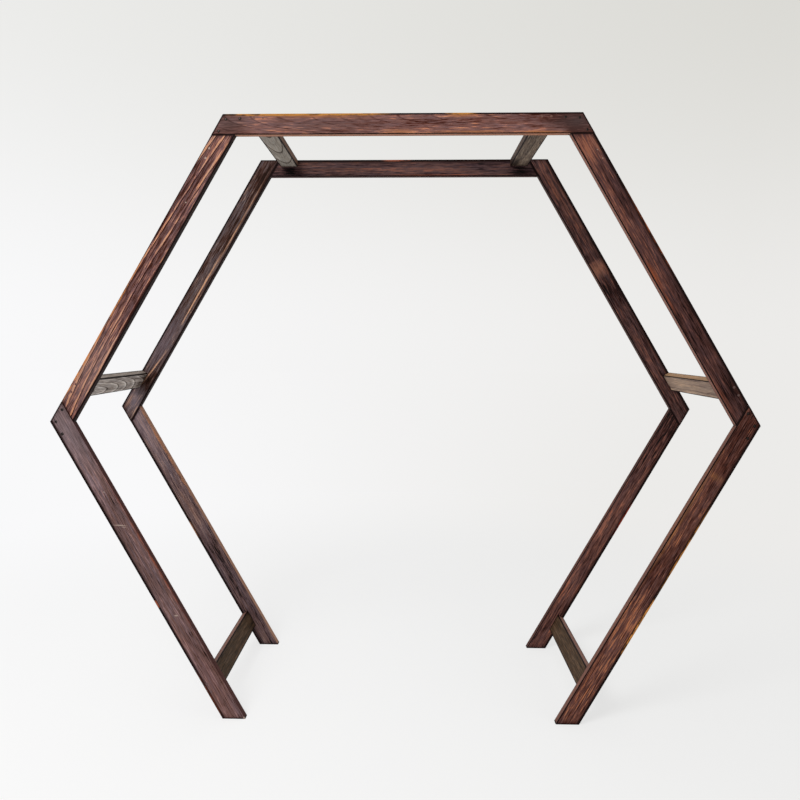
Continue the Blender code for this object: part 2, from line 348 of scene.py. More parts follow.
def patches(tree, board, spots, start=0.0):
    """
    The strongest of some soft oval patches at each point. A patch is (along, depth from the outer edge,
    half length, half depth, strength, degrees of lean) in millimetres. It runs right through the board, or
    with two more values, (below the show face, half thickness), it is an egg that shows on one face.
    """
    strongest = start
    for along, depth, half_length, half_depth, strength, lean, *egg in spots:
        below, half_thickness = egg or RIGHT_THROUGH
        oval = add_node(
            tree,
            "ShaderNodeMapping",
            {
                "Vector": board,
                "Location": (along / 1000, below / 1000, -depth / 1000),
                "Rotation": (0.0, math.radians(lean), 0.0),
                "Scale": (half_length / 1000, half_thickness / 1000, half_depth / 1000),
            },
            vector_type="TEXTURE",
        )
        soft = add_node(tree, "ShaderNodeTexGradient", {"Vector": oval}, gradient_type="SPHERICAL")
        weighed = {0: soft.outputs["Fac"], 1: strength}
        scaled = add_node(tree, "ShaderNodeMath", weighed, operation="MULTIPLY")
        strongest = add_node(tree, "ShaderNodeMath", {0: scaled, 1: strongest}, operation="MAXIMUM")
    return strongest


def drawn_noise(tree, board, grain, seed):
    """Noise drawn out along the board."""
    (along, across), detail, roughness, own_seed = grain
    drawn = add_node(tree, "ShaderNodeMapping", {"Vector": board, "Scale": (along, across, across)})
    return add_node(
        tree,
        "ShaderNodeTexNoise",
        {"Vector": drawn, "W": seed + own_seed, "Scale": 1.0, "Detail": detail, "Roughness": roughness},
        noise_dimensions="4D",
    )


def growth_rings(tree, board, rings, bow, ring_light, seed):
    """
    Growth lines from -0.5 to 0.5, each a thin dark line beside a bright one: partly stain rubbed off the
    hard late wood, and partly a painted highlight on its ridge with painted shade in the groove beside it.
    The pith
    lies outside the board: rings are how far it is behind the show face and below the outer edge, the rings'
    spacing, and how far slow noise pushes them about, in millimetres, and how the trunk leans out of the
    face, in degrees. A bow bends them along the board: its middle, in metres, and its amounts before and
    beyond.
    """
    behind, below, spacing, wander, tilt = rings
    bow_middle, bend_before, bend_beyond = bow
    along = add_node(tree, "ShaderNodeSeparateXYZ", {0: board}).outputs["X"]
    bend = 0.0
    for side, amount in ((-1.0, bend_before), (1.0, bend_beyond)):
        from_middle = {0: along, 1: side, 2: -side * bow_middle}
        beyond = add_node(tree, "ShaderNodeMath", from_middle, operation="MULTIPLY_ADD")
        kept = add_node(tree, "ShaderNodeMath", {0: beyond, 1: 0.0}, operation="MAXIMUM")
        squared = add_node(tree, "ShaderNodeMath", {0: kept, 1: 2.0}, operation="POWER")
        bend = add_node(tree, "ShaderNodeMath", {0: squared, 1: amount, 2: bend}, operation="MULTIPLY_ADD")
    lift = add_node(tree, "ShaderNodeCombineXYZ", {"Z": bend})
    bowed = add_node(tree, "ShaderNodeVectorMath", {0: board, 1: lift}, operation="ADD")
    sway = drawn_noise(tree, board, GROWTH_SWAY, seed)
    pushed = add_node(
        tree,
        "ShaderNodeVectorMath",
        {0: sway.outputs["Color"], 1: (0.0, wander / 1000, wander / 1000), 2: bowed},
        operation="MULTIPLY_ADD",
    )
    trunk = add_node(
        tree,
        "ShaderNodeMapping",
        {
            "Vector": pushed,
            "Location": (0.0, -(behind + wander / 2) / 1000, (below - wander / 2) / 1000),
            "Rotation": (0.0, 0.0, math.radians(tilt)),
        },
    )

    # At a scale of 1 a Wave texture's rings are a twentieth of a full turn apart.
    ring = add_node(
        tree,
        "ShaderNodeTexWave",
        {"Vector": trunk, "Scale": math.tau / 20 / (spacing / 1000), "Distortion": 0.0},
        wave_type="RINGS",
        rings_direction="X",
        wave_profile="SAW",
    )
    grown = add_node(tree, "ShaderNodeValToRGB", {0: ring.outputs["Fac"]})
    for end in (0, 1):
        grown.color_ramp.elements[end].color = (0.5, 0.5, 0.5, 1.0)

    # Across one ring: a faint dark line, then the bright one, partly rubbed stain and partly a painted
    # highlight, with the thin dark one beside it, partly painted shade.
    for position, step in (
        (0.30, 0.0),
        (0.36, -0.2),
        (0.42, 0.0),
        (0.62, 0.25 * ring_light),
        (0.76, ring_light),
        (0.86, 0.5 * ring_light),
        (0.90, -1.0),
        (0.96, -0.85),
    ):
        level = 0.5 + step / 2
        grown.color_ramp.elements.new(position).color = (level, level, level, 1.0)
    return add_node(tree, "ShaderNodeMath", {0: grown, 1: 0.5}, operation="SUBTRACT")


def board_borders(tree, board, size, ends):
    """
    Where a point is on its board: its distances from the nearest long arris and edge face, its height above
    the middle, its distance from the nearest cut or lap line, and the stain soaked in beside that.
    """
    length, width, thickness = size
    to_middle = (0.0, -thickness / 2, width / 2)
    inward = add_node(tree, "ShaderNodeVectorMath", {0: board, 1: to_middle}, operation="ADD")
    folded = add_node(tree, "ShaderNodeVectorMath", {0: inward}, operation="ABSOLUTE")
    half_size = (0.0, thickness / 2, width / 2)
    from_side = add_node(tree, "ShaderNodeVectorMath", {0: half_size, 1: folded}, operation="SUBTRACT")
    across = add_node(tree, "ShaderNodeVectorMath", {0: from_side, 1: (0.0, 1.0, 1.0)}, operation="MULTIPLY")
    from_arris = add_node(tree, "ShaderNodeVectorMath", {0: across}, operation="LENGTH").outputs["Value"]
    from_edge = add_node(tree, "ShaderNodeSeparateXYZ", {0: from_side}).outputs["Z"]
    centre = add_node(tree, "ShaderNodeSeparateXYZ", {0: inward})
    nearest_line = 1.0
    soaked = 0.0
    for edge_x, toward_middle, kind in ((0.0, 1, ends[0]), (length, -1, ends[1])):
        angle = math.pi / 2 if kind == "square" else CORNER
        into_board = toward_middle * math.sin(angle)
        lines = [(0.0, 0)]
        if kind in ("over", "under"):
            lines.append((width, 1 if kind == "under" else -1))
        for offset, showing_side in lines:
            square_to_cut = {0: board, 1: (into_board, 0.0, math.cos(angle))}
            cut = add_node(tree, "ShaderNodeVectorMath", square_to_cut, operation="DOT_PRODUCT")
            from_cut = {0: cut.outputs["Value"], 1: edge_x * into_board + offset}
            past = add_node(tree, "ShaderNodeMath", from_cut, operation="SUBTRACT")
            beside = add_node(tree, "ShaderNodeMath", {0: past}, operation="ABSOLUTE")
            face_side = {0: centre.outputs["Y"], 1: OUT_OF_SIGHT * showing_side}
            hidden = add_node(tree, "ShaderNodeMath", face_side, operation="MULTIPLY")
            shown = add_node(tree, "ShaderNodeMath", {0: hidden, 1: 0.0}, operation="MAXIMUM")
            line = add_node(tree, "ShaderNodeMath", {0: beside, 1: shown}, operation="ADD")
            nearest_line = add_node(tree, "ShaderNodeMath", {0: nearest_line, 1: line}, operation="MINIMUM")
            fade = {"Value": line, **SOAK_FADE}
            soak = add_node(tree, "ShaderNodeMapRange", fade, interpolation_type="SMOOTHSTEP")
            soaked = add_node(tree, "ShaderNodeMath", {0: soak, 1: soaked}, operation="MAXIMUM")
    return from_arris, from_edge, centre.outputs["Z"], nearest_line, soaked


def stain_tone(tree, noises, grown, ring_depth, texture):
    """The tone of the stain at each point, from 0, pooled and dark, to 1, rubbed and light."""
    fibres, flecks, bands = texture
    weights = (FIBRE_WEIGHT * fibres, FLECK_WEIGHT * flecks, PORE_WEIGHT * flecks, BAND_WEIGHT * bands)
    tone = 0.5 - sum(weights) / 2
    for noise, weight in zip(noises, weights):
        tone = add_node(tree, "ShaderNodeMath", {0: noise, 1: weight, 2: tone}, operation="MULTIPLY_ADD")

    # The rings show more where the brush left less stain.
    span = {"Value": noises[-1], **NOISE_SPAN, "To Min": 0.55 * ring_depth, "To Max": 1.7 * ring_depth}
    uneven = add_node(tree, "ShaderNodeMapRange", span)
    return add_node(tree, "ShaderNodeMath", {0: grown, 1: uneven, 2: tone}, operation="MULTIPLY_ADD")


def stain_colour(tree, board, tone, tones, tint, seed):
    """The stain's colour by its tone, a little warmer in some places and cooler in others."""
    stain = add_node(tree, "ShaderNodeValToRGB", {0: tone})
    stain.color_ramp.elements[0].color = hex_colour(tones[0])
    stain.color_ramp.elements[1].color = hex_colour(tones[-1])
    for position, code in zip(TONE_STEPS, tones[1:-1]):
        stain.color_ramp.elements.new(position).color = hex_colour(code)
    changes = drawn_noise(tree, board, HUE_CHANGES, seed)
    hue = add_node(tree, "ShaderNodeMapRange", {"Value": changes, "From Min": 0.34, "From Max": 0.66})
    warming = {"Factor": hue, COLOUR_A: COOLER, COLOUR_B: WARMER}
    warmth = add_node(tree, "ShaderNodeMix", warming, data_type="RGBA").outputs[MIXED]
    tinting = {"Factor": tint, COLOUR_A: stain, COLOUR_B: warmth}
    return add_node(tree, "ShaderNodeMix", tinting, data_type="RGBA", blend_type="MULTIPLY").outputs[MIXED]


def dark_rims(tree, fleck, ragged, height, nearest_line, rims):
    """How much dark stain the eased arrises and the cut and lap lines hold at each point."""
    outer_rim, inner_rim = rims
    widths = {"Value": height, **RIM_WIDTH_SPAN, "To Min": inner_rim / 1000, "To Max": outer_rim / 1000}
    rim_width = add_node(tree, "ShaderNodeMapRange", widths)
    fade = {"Value": ragged, "From Max": rim_width, **RIM_FADE}
    arris_rim = add_node(tree, "ShaderNodeMapRange", fade, interpolation_type="SMOOTHSTEP")
    torn_line = {0: fleck, 1: -LINE_RAGGED, 2: nearest_line}
    ragged_line = add_node(tree, "ShaderNodeMath", torn_line, operation="MULTIPLY_ADD")
    fade = {"Value": ragged_line, **LINE_FADE}
    line_rim = add_node(tree, "ShaderNodeMapRange", fade, interpolation_type="SMOOTHSTEP")
    return add_node(tree, "ShaderNodeMath", {0: arris_rim, 1: line_rim}, operation="MAXIMUM")


def worn_arrises(tree, board, fleck, ragged, arris_worn):
    """Where the eased arrises are rubbed through to bare wood, torn by the flecks."""
    fade = {"Value": ragged, **WEAR_FADE}
    near = add_node(tree, "ShaderNodeMapRange", fade, interpolation_type="SMOOTHSTEP")
    breaking = {0: patches(tree, board, arris_worn), 1: near}
    broken = add_node(tree, "ShaderNodeMath", breaking, operation="MULTIPLY")
    span = {"Value": fleck, "From Min": 0.42, "From Max": 0.56, "To Min": 0.1, "To Max": 1.1}
    torn = add_node(tree, "ShaderNodeMapRange", span)
    return add_node(tree, "ShaderNodeMath", {0: broken, 1: torn}, operation="MULTIPLY", use_clamp=True)


def stained_pine(
    name, place, size, ends, tones, rings, ring_depth, seed, rims, bow=(0.6, 0.0, 0.0), ring_light=0.5,
    texture=(1.0, 1.0, 1.0), tint=1.0, edge_stain=("#2A0E09", 0.5), bare=None, arris_bare=None, grey=None,
    greyed=(), rubbed=(), worn=(), dark=(), arris_worn=(), specks=(),
):
    """
    Pine under a hand-brushed stain. The eye gets growth lines, fibres and flecks between them, slow bands
    where the brush left more or less stain, near-black eased arrises, and bare orange wood where they are
    rubbed through. The tones go from pooled to rubbed stain. texture weighs the fibres, the flecks with the
    pores, and the bands. rims are the widths of the dark border at the outer and the inner edge in
    millimetres. The edge faces get their own colour at the strength given with it: partly stain brushed on
    heavier, and partly painted light where a face turns to the lamp and painted shade where it turns away.
    The rest are patches, and the colours that show in them.
    """
    start, turn = place
    material, tree, shader = new_material("stained_pine_" + name)
    at = add_node(tree, "ShaderNodeTexCoord").outputs["Object"]
    local = {"Vector": at, "Location": start, "Rotation": turn, "Scale": (1.0, 1.0, 1.0)}
    board = add_node(tree, "ShaderNodeMapping", local, vector_type="TEXTURE").outputs[0]
    noises = [drawn_noise(tree, board, grain, seed) for grain in (FIBRES, FLECKS, PORES, BRUSH_BANDS)]
    fibre, fleck = noises[:2]
    grown = growth_rings(tree, board, rings, bow, ring_light, seed)
    from_arris, from_edge, height, nearest_line, soaked = board_borders(tree, board, size, ends)
    tone = stain_tone(tree, noises, grown, ring_depth, texture)
    if worn:
        tone = add_node(tree, "ShaderNodeMath", {0: patches(tree, board, worn), 1: tone}, operation="ADD")
    shade = patches(tree, board, dark, soaked)
    tone = add_node(tree, "ShaderNodeMath", {0: tone, 1: shade}, operation="SUBTRACT")
    colour = stain_colour(tree, board, tone, tones, tint, seed)

    # In places a grey goes over the stain, partly greyer stain and partly painted sheen of the satin finish,
    # and on the narrow edge faces it has another colour, partly stain and partly painted light and shade.
    if greyed:
        strength = add_node(tree, "ShaderNodeMapRange", {"Value": tone, "To Min": 0.7, "To Max": 1.35})
        grey_and_sheen_parts = {0: hex_colour(grey)[:3], "Scale": strength}
        grey_and_sheen = add_node(tree, "ShaderNodeVectorMath", grey_and_sheen_parts, operation="SCALE")
        greying = {"Factor": patches(tree, board, greyed), COLOUR_A: colour, COLOUR_B: grey_and_sheen}
        colour = add_node(tree, "ShaderNodeMix", greying, data_type="RGBA").outputs[MIXED]
    # The narrow edge faces' colour is partly stain and partly painted light and shade: mostly pale where
    # they face the lamp, dark where they turn away.
    edge_colour, edge_strength = edge_stain
    fade = {"Value": from_edge, **EDGE_FADE, "To Min": edge_strength}
    edge_face = add_node(tree, "ShaderNodeMapRange", fade)
    on_edges = {"Factor": edge_face, COLOUR_A: colour, COLOUR_B: hex_colour(edge_colour)}
    colour = add_node(tree, "ShaderNodeMix", on_edges, data_type="RGBA").outputs[MIXED]

    # The faces are rubbed through along the fibres, the arrises and lines hold dark stain, and in places the
    # arrises are worn bare.
    if rubbed:
        span = {"Value": fibre, "From Min": 0.36, "From Max": 0.62, "To Min": 0.25, "To Max": 1.3}
        fibrous = add_node(tree, "ShaderNodeMapRange", span)
        rub = {0: patches(tree, board, rubbed), 1: fibrous}
        shown = add_node(tree, "ShaderNodeMath", rub, operation="MULTIPLY", use_clamp=True)
        rubbing = {"Factor": shown, COLOUR_A: colour, COLOUR_B: hex_colour(bare)}
        colour = add_node(tree, "ShaderNodeMix", rubbing, data_type="RGBA").outputs[MIXED]
    torn_arris = {0: fleck, 1: -ARRIS_RAGGED, 2: from_arris}
    ragged = add_node(tree, "ShaderNodeMath", torn_arris, operation="MULTIPLY_ADD")
    rim = dark_rims(tree, fleck, ragged, height, nearest_line, rims)
    rimming = {"Factor": rim, COLOUR_A: colour, COLOUR_B: hex_colour(POOLED_STAIN)}
    colour = add_node(tree, "ShaderNodeMix", rimming, data_type="RGBA").outputs[MIXED]
    if arris_worn:
        shown = worn_arrises(tree, board, fleck, ragged, arris_worn)
        baring = {"Factor": shown, COLOUR_A: colour, COLOUR_B: hex_colour(arris_bare or bare)}
        colour = add_node(tree, "ShaderNodeMix", baring, data_type="RGBA").outputs[MIXED]

    # Fine fibres streak it all, and specks of pale filler and small scratches lie on the show face alone.
    fine = drawn_noise(tree, board, FINE_FIBRES, seed)
    span = {"Value": fine, **NOISE_SPAN, "To Min": 0.72, "To Max": 1.28}
    streaked = add_node(tree, "ShaderNodeMapRange", span)
    colour = add_node(tree, "ShaderNodeVectorMath", {0: colour, "Scale": streaked}, operation="SCALE")
    if specks:
        dots = patches(tree, board, [(*speck, *ON_SHOW_FACE) for speck in specks])
        span = {"Value": dots, "From Min": 0.1, "From Max": 0.5, "To Min": 0.0, "To Max": 0.75}
        crisp = add_node(tree, "ShaderNodeMapRange", span)
        speckled = {"Factor": crisp, COLOUR_A: colour, COLOUR_B: hex_colour(PALE_FILLER)}
        colour = add_node(tree, "ShaderNodeMix", speckled, data_type="RGBA").outputs[MIXED]

    # The thin stain leaves a dull satin, rougher on the flecks. Growth lines and fibres stand proud.
    span = {"Value": fleck, **NOISE_SPAN, "To Min": 0.55, "To Max": 0.75}
    gloss = add_node(tree, "ShaderNodeMapRange", span)
    relief = add_node(tree, "ShaderNodeMath", {0: grown, 1: 0.5, 2: fine}, operation="MULTIPLY_ADD")
    bump = {"Height": relief, "Strength": 0.5, "Distance": GRAIN_RELIEF}
    raised = add_node(tree, "ShaderNodeBump", bump)
    feed(tree, shader, {"Base Color": colour, "Roughness": gloss, "Normal": raised})
    feed(tree, shader, {"IOR": 1.5, "Specular IOR Level": 0.08})
    return material


def put_on(name, material):
    """Gives a CAD node a material in place of its plain one."""
    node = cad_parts[name]
    node.data.materials.clear()
    node.data.materials.append(material)
    for face in node.data.polygons:
        face.material_index = 0


def finish_board(name, dark=(), **looks):
    """Gives a frame board its own stain and grain. Round the heads of its lap screws it is darker, partly
    pooled stain and partly painted shade of the countersunk holes.
    """
    start, turn, length, ends = BOARDS[name]
    shaded_pool = (SHADED_POOL_RADIUS, SHADED_POOL_RADIUS, SHADED_POOL_STRENGTH, 0, 0, SHADED_POOL_RADIUS)
    shaded_pools = tuple((1000 * x, -1000 * z, *shaded_pool) for x, z in lap_spots[name])
    size = (length, BOARD_WIDTH, BOARD_THICKNESS)
    put_on(name, stained_pine(name, (start, turn), size, ends, dark=dark + shaded_pools, **looks))


# The boards' edge colours below hold painted light and shade as well as stain: mostly pale where an edge
# faces the lamp, dark where it turns away.
finish_board(
    "front_top_rail",
    tones=("#3A1306", "#674038", "#6E514D", "#885C54", "#C08264"),
    rings=(110.0, 5.0, 8.5, 7.0, 4.87), ring_depth=0.6, ring_light=0.2, texture=(1.0, 1.1, 0.8), seed=1.0,
    rims=(7.5, 1.5),
    edge_stain=("#C08A70", 0.75),
    bare="#9E6642",
    arris_bare="#AE7638",
    grey="#564442",
    greyed=((20, 36, 130, 60, 0.75, 0), (1200, 30, 130, 60, 0.9, 0), (300, 40, 340, 60, 0.45, 0)),
    rubbed=(
        (1085, 66, 100, 7, 1.3, 0), (850, 64, 190, 7, 0.9, 0), (600, 62, 80, 10, 1.0, 0),
        (810, 9, 60, 9, 1.3, 0), (330, 8, 220, 10, 1.0, 0),
    ),
    worn=(
        (1060, 61, 170, 12, 0.35, 0), (600, 61, 180, 12, 0.3, 0), (810, 8, 70, 10, 0.6, 0),
        (130, 16, 80, 14, 0.3, 0), (780, 10, 110, 12, 0.3, 0),
    ),
    dark=(
        (20, 40, 90, 60, 0.5, 0), (1165, 10, 190, 50, 0.6, 0), (1195, 40, 100, 80, 0.75, 0),
        (400, 60, 130, 26, 0.2, 0), (760, 32, 260, 20, 0.35, 0),
    ),
    arris_worn=((290, 0, 290, 22, 2.8, 0), (810, 0, 60, 12, 1.2, 0)),
)
finish_board(
    "front_left_upper_leg",
    tones=("#2B0802", "#442318", "#5E4545", "#895D54", "#BF8B6C"),
    rings=(-12.0, -260.0, 27.0, 12.0, 0.0), bow=(0.45, 0.131, 0.075), ring_depth=1.25, ring_light=0.8,
    texture=(0.8, 1.0, 0.8), seed=2.0, rims=(2.0, 6.0),
    edge_stain=("#1A0806", 0.95),
    bare="#C07C46",
    grey="#80706E",
    greyed=((230, 36, 180, 60, 0.3, 0),),
    worn=(
        (240, 30, 330, 50, 0.25, 0), (130, 20, 130, 30, 0.3, 0), (1010, 54, 230, 14, 0.3, 0),
        (1100, 20, 100, 30, 0.2, 0), (430, 10, 80, 9, 0.5, 0), (670, 3, 70, 7, 0.6, 0),
        (430, 36, 90, 24, 0.25, 0),
    ),
    dark=(
        (760, 40, 260, 50, 0.2, 0), (420, 60, 220, 16, 0.5, 0), (960, 30, 150, 50, 0.2, 0),
        (790, 2, 80, 9, 0.8, 0), (910, 12, 70, 11, 0.4, 0),
    ),
    arris_worn=((260, 0, 260, 12, 0.9, 0), (500, 0, 200, 10, 0.7, 0)),
    specks=((1095, 17, 5, 5, 1, 0), (1060, 22, 5, 5, 1, 0), (895, 38, 4, 4, 0.8, 0)),
)
finish_board(
    "front_right_upper_leg",
    tones=("#120202", "#402621", "#4A3231", "#653F36", "#8A5A48"),
    rings=(-20.0, 150.0, 9.0, 9.0, 0.0), ring_depth=0.35, seed=3.0, rims=(15.5, 3.0),
    edge_stain=("#A07466", 0.7),
    bare="#8E4A2C",
    rubbed=(
        (110, 54, 70, 30, 0.2, 0), (90, 26, 40, 14, 0.25, 0), (600, 62, 75, 10, 1.1, 0),
        (700, 62, 60, 7, 0.6, 0), (1080, 60, 80, 8, 0.4, 0),
    ),
    worn=(
        (110, 46, 130, 55, 0.65, 0), (400, 56, 280, 18, 0.2, 0), (600, 52, 120, 26, 0.3, 0),
        (960, 36, 110, 55, 0.22, 0),
    ),
    dark=((320, 26, 90, 40, 0.4, 0), (790, 26, 240, 60, 0.35, 0), (1080, 35, 300, 70, 0.2, 0)),
    arris_worn=((460, 0, 200, 10, 0.5, 0),),
    specks=((133, 20, 4, 4, 0.5, 0), (167, 19, 4, 4, 0.5, 0)),
)
finish_board(
    "front_left_lower_leg",
    tones=("#090202", "#5C4643", "#654E4C", "#775F60", "#967774"),
    rings=(-30.0, 150.0, 9.0, 8.0, 0.0), ring_depth=0.5, seed=4.0, rims=(14.5, 1.0),
    edge_stain=("#3A120C", 0.8),
    bare="#8C4A30",
    grey="#77686B",
    greyed=((1150, 35, 250, 70, 0.7, 0),),
    rubbed=((120, 36, 330, 60, 0.16, 0),),
    worn=((600, 56, 160, 20, 0.3, 0), (430, 36, 130, 60, 0.4, 0), (940, 36, 120, 60, 0.25, 0)),
    dark=((620, 40, 300, 60, 0.22, 0), (720, 20, 60, 30, 0.15, 0)),
    arris_worn=((90, 0, 120, 10, 0.4, 0), (462, 0, 18, 16, 2.0, 0), (620, 70, 380, 10, 0.4, 0)),
    specks=(
        (-36, 68, 8, 5, 1.0, 0), (394, 42, 4, 10, 0.8, 30), (765, 30, 34, 3, 0.7, -58),
        (752, 40, 14, 2, 0.6, -58), (893, 40, 4, 4, 0.6, 0),
    ),
)
finish_board(
    "front_right_lower_leg",
    tones=("#110202", "#4A241A", "#563831", "#6D4740", "#AC6D4A"),
    rings=(-24.0, 150.0, 6.5, 4.0, 0.0), ring_depth=0.6, texture=(1.2, 1.1, 0.4), seed=5.0,
    rims=(15.0, 2.0),
    edge_stain=("#8A6458", 0.55),
    bare="#C08040",
    rubbed=((226, 50, 17, 60, 0.2, 0), (400, 64, 300, 8, 0.3, 0)),
    worn=((230, 40, 30, 40, 0.15, 0), (900, 40, 300, 60, 0.2, 0), (780, 36, 110, 60, 0.4, 0)),
    dark=((60, 35, 260, 70, 0.3, 0), (30, 60, 120, 30, 0.3, 0), (600, 36, 120, 60, 0.25, 0)),
    arris_worn=((800, 0, 120, 20, 2.6, 0), (500, 0, 200, 10, 0.6, 0)),
)
finish_board(
    "rear_top_rail",
    tones=("#020202", "#362022", "#4D3938", "#5C413C", "#7C5042"),
    rings=(-24.0, 150.0, 8.0, 8.0, 0.0), ring_depth=0.5, seed=6.0, rims=(17.0, 3.5),
    edge_stain=("#4A2A22", 0.5),
    bare="#7E4430",
    rubbed=((460, 65, 300, 5, 0.9, 0),),
    worn=((640, 44, 360, 16, 0.3, 0),),
    dark=(
        (1180, 30, 110, 50, 0.4, 0), (260, 36, 110, 50, 0.15, 0), (40, 30, 100, 50, 0.3, 0),
        # The two patches on the next line are painted shadow cast by the top spacers' ends, with some stain
        # pooled at the joints, on the inner face only.
        (1093, 52, 60, 34, 0.7, 0, 28, 24), (112, 52, 64, 34, 0.6, 0, 28, 24),
    ),
    arris_worn=((640, 0, 70, 14, 1.5, 0),),
)
finish_board(
    "rear_left_upper_leg",
    tones=("#1E0B02", "#3F251D", "#564643", "#5A5053", "#A8866F"),
    rings=(-26.0, 150.0, 10.0, 12.0, 0.0), ring_depth=0.35, seed=7.0, rims=(9.0, 8.0),
    edge_stain=("#240C08", 0.9),
    bare="#C49474",
    grey="#70626A",
    greyed=((1170, 36, 80, 60, 0.6, 0), (890, 26, 190, 50, 0.5, 0)),
    rubbed=(
        (1000, 41, 110, 4, 1.4, -7.5), (600, 50.5, 200, 4, 2.2, 0), (300, 56, 260, 4, 0.9, 0),
        (1180, 16, 40, 12, 0.5, 0),
    ),
    worn=(
        (600, 50, 220, 6, 0.6, 0), (300, 56, 300, 5, 0.25, 0), (1000, 41, 120, 5, 0.4, -7.5),
        (1150, 30, 60, 50, 0.25, 0),
    ),
    dark=(
        # The second patch on the next line is painted shadow cast by the knee spacer's end, with some stain
        # pooled at the joint, on the inner face only.
        (60, 40, 180, 60, 0.5, 0), (1060, 48, 70, 36, 0.6, 0, 28, 24), (860, 66, 190, 9, 0.3, 0),
        (350, 36, 240, 60, 0.2, 0),
    ),
    specks=((190, 12, 4, 5, 0.7, 0), (168, 16, 4, 5, 0.7, 0), (140, 14, 4, 5, 0.7, 0)),
)
finish_board(
    "rear_right_upper_leg",
    tones=("#020202", "#2D120F", "#463331", "#5E3D38", "#7F5345"),
    rings=(-30.0, 150.0, 9.0, 9.0, 0.0), ring_depth=0.35, texture=(1.1, 1.1, 0.7), seed=8.0,
    rims=(19.0, 4.0),
    edge_stain=("#6A4A40", 0.4),
    bare="#86604C",
    rubbed=((708, 46, 44, 70, 0.45, 0),),
    worn=(
        (708, 44, 44, 90, 0.75, 0), (738, 50, 14, 80, 0.5, 0), (1100, 46, 160, 30, 0.4, 0),
        (1020, 14, 180, 9, 0.6, 0), (220, 50, 160, 16, 0.2, 0),
    ),
    dark=((590, 36, 70, 60, 0.35, 0), (772, 30, 26, 60, 0.2, 0)),
)
finish_board(
    "rear_left_lower_leg",
    tones=("#030202", "#503C3C", "#685252", "#74605E", "#967A71"),
    rings=(-30.0, 150.0, 9.0, 8.0, 0.0), ring_depth=0.5, seed=9.0, rims=(16.0, 1.0),
    edge_stain=("#BC8C70", 0.7),
    bare="#A87456",
    grey="#766870",
    greyed=((160, 40, 260, 60, 0.5, 0),),
    rubbed=((240, 66, 220, 6, 0.6, 0), (540, 40, 90, 16, 0.2, 0)),
    worn=((180, 40, 260, 60, 0.3, 0),),
    dark=((800, 40, 200, 60, 0.4, 0),),
    arris_worn=((190, 70, 190, 12, 1.4, 0), (420, 70, 130, 10, 1.0, 0), (620, 0, 50, 12, 1.0, 0)),
    specks=((30, 14, 5, 4, 0.8, 0), (52, 12, 5, 4, 0.8, 0), (72, 12, 5, 4, 0.8, 0)),
)
finish_board(
    "rear_right_lower_leg",
    tones=("#020202", "#452621", "#5F403B", "#734E44", "#A4664F"),
    rings=(-30.0, 150.0, 8.0, 8.0, 0.0), ring_depth=0.35, texture=(1.1, 1.1, 0.6), seed=10.0,
    rims=(18.0, 1.5),
    edge_stain=("#4A2A22", 0.5),
    bare="#843222",
    worn=((560, 60, 170, 12, 0.5, 0), (330, 62, 120, 10, 0.4, 0)),
    dark=((1080, 40, 260, 60, 0.3, 0),),
    arris_worn=((650, 0, 90, 12, 1.2, 0),),
)

# Spacer boards.
# Six short pieces of 28 x 73 mm pine that hold the frames 610 mm apart. They have had one thin coat only,
# so they are greyer than the frames. Each is screwed through the frames into its end grain.
SPACER_WIDTH = 0.073
SPACER_THICKNESS = 0.028
TOP_SPACER_FROM_CORNER = 0.122
KNEE_SPACER_FROM_CORNER = 0.144
FOOT_SPACER_FROM_FLOOR = 0.117
THIN_COAT_TINT = 0.3


def finish_spacer(name, middle_x, middle_z, lean, rims=(4.0, 4.0), **looks):
    """
    Gives a spacer its grain. Local x runs from the front frame to the rear one, y through the thickness
    from the outer face and z towards one long edge, as on a frame board.
    """
    lying = Matrix.Rotation(math.pi / 2, 3, "Z") @ Matrix.Rotation(-math.pi / 2, 3, "X")
    turn = Matrix.Rotation(lean, 3, "Y") @ lying
    start = Vector((middle_x, -SPACER_LENGTH / 2, middle_z)) + turn @ Vector((0.0, 0.0, SPACER_WIDTH / 2))
    place = (tuple(start), tuple(turn.to_euler()))
    size = (SPACER_LENGTH, SPACER_WIDTH, SPACER_THICKNESS)
    ends = ("square", "square")
    put_on(name, stained_pine(name, place, size, ends, rims=rims, tint=THIN_COAT_TINT, **looks))


top_x = TOP_X - TOP_SPACER_FROM_CORNER
knee_x = KNEE_X - KNEE_SPACER_FROM_CORNER * math.cos(LEG_SLOPE)
knee_z = KNEE_Z + KNEE_SPACER_FROM_CORNER * math.sin(LEG_SLOPE)
foot_x = FOOT_X + FOOT_SPACER_FROM_FLOOR * math.cos(LEG_SLOPE)
foot_z = FOOT_SPACER_FROM_FLOOR * math.sin(LEG_SLOPE)
